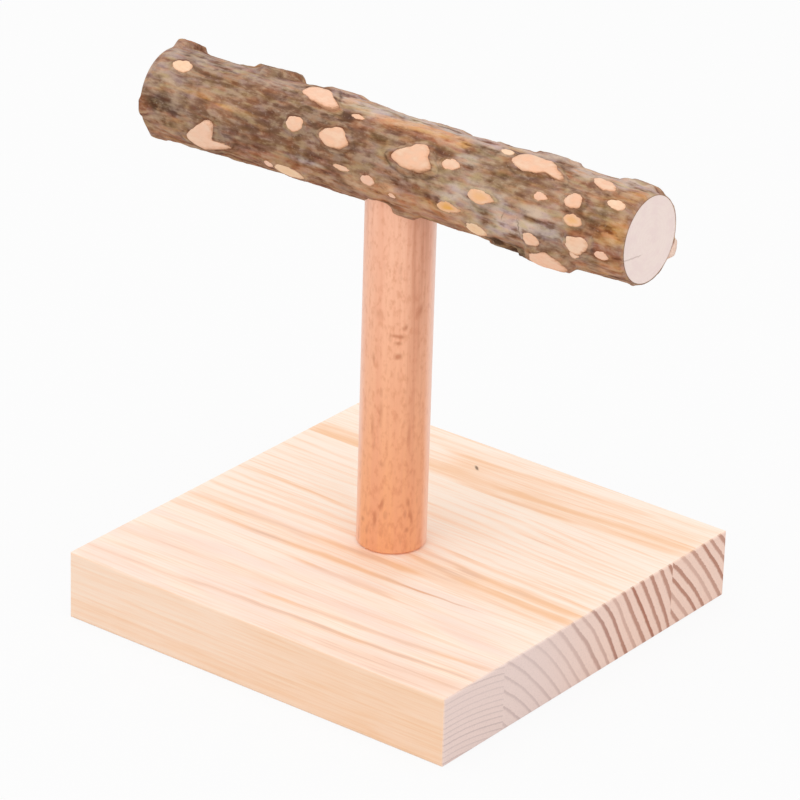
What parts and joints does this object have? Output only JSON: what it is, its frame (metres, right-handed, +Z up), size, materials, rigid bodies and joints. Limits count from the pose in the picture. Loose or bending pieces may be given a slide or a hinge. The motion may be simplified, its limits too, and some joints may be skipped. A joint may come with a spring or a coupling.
{
  "type": "bird perch stand",
  "caption": "Table-top bird perch: a bark-covered branch with sanded knobs across a round wooden post on a square glued board.",
  "frame": {"origin": "middle of the board's underside, on the surface that the stand rests on", "axes": "+Z up along the post; +X along the board's grain and, to within 1.1 degrees, the perch; -Y towards the front stave"},
  "size_m": [0.161, 0.13, 0.1485],
  "materials": {
    "board_wood": "planed and sanded softwood, unvarnished",
    "dowel_beech": "sanded beech dowel, unvarnished",
    "branch_wood": "fresh sawn end grain",
    "branch_bark": "natural bark, dry and matt",
    "knob_wood": "knobs of the bark sanded flat",
    "zinc_steel": "bright zinc-plated steel"
  },
  "bodies": {
    "root": {"base_front_stave": "board_wood", "base_middle_stave": "board_wood", "base_rear_stave": "board_wood", "post": "dowel_beech", "perch_wood": "branch_wood", "perch_bark": "branch_bark", "knob_faces": "knob_wood", "base_screw": "zinc_steel", "perch_stud": "zinc_steel"}
  },
  "joints": []
}
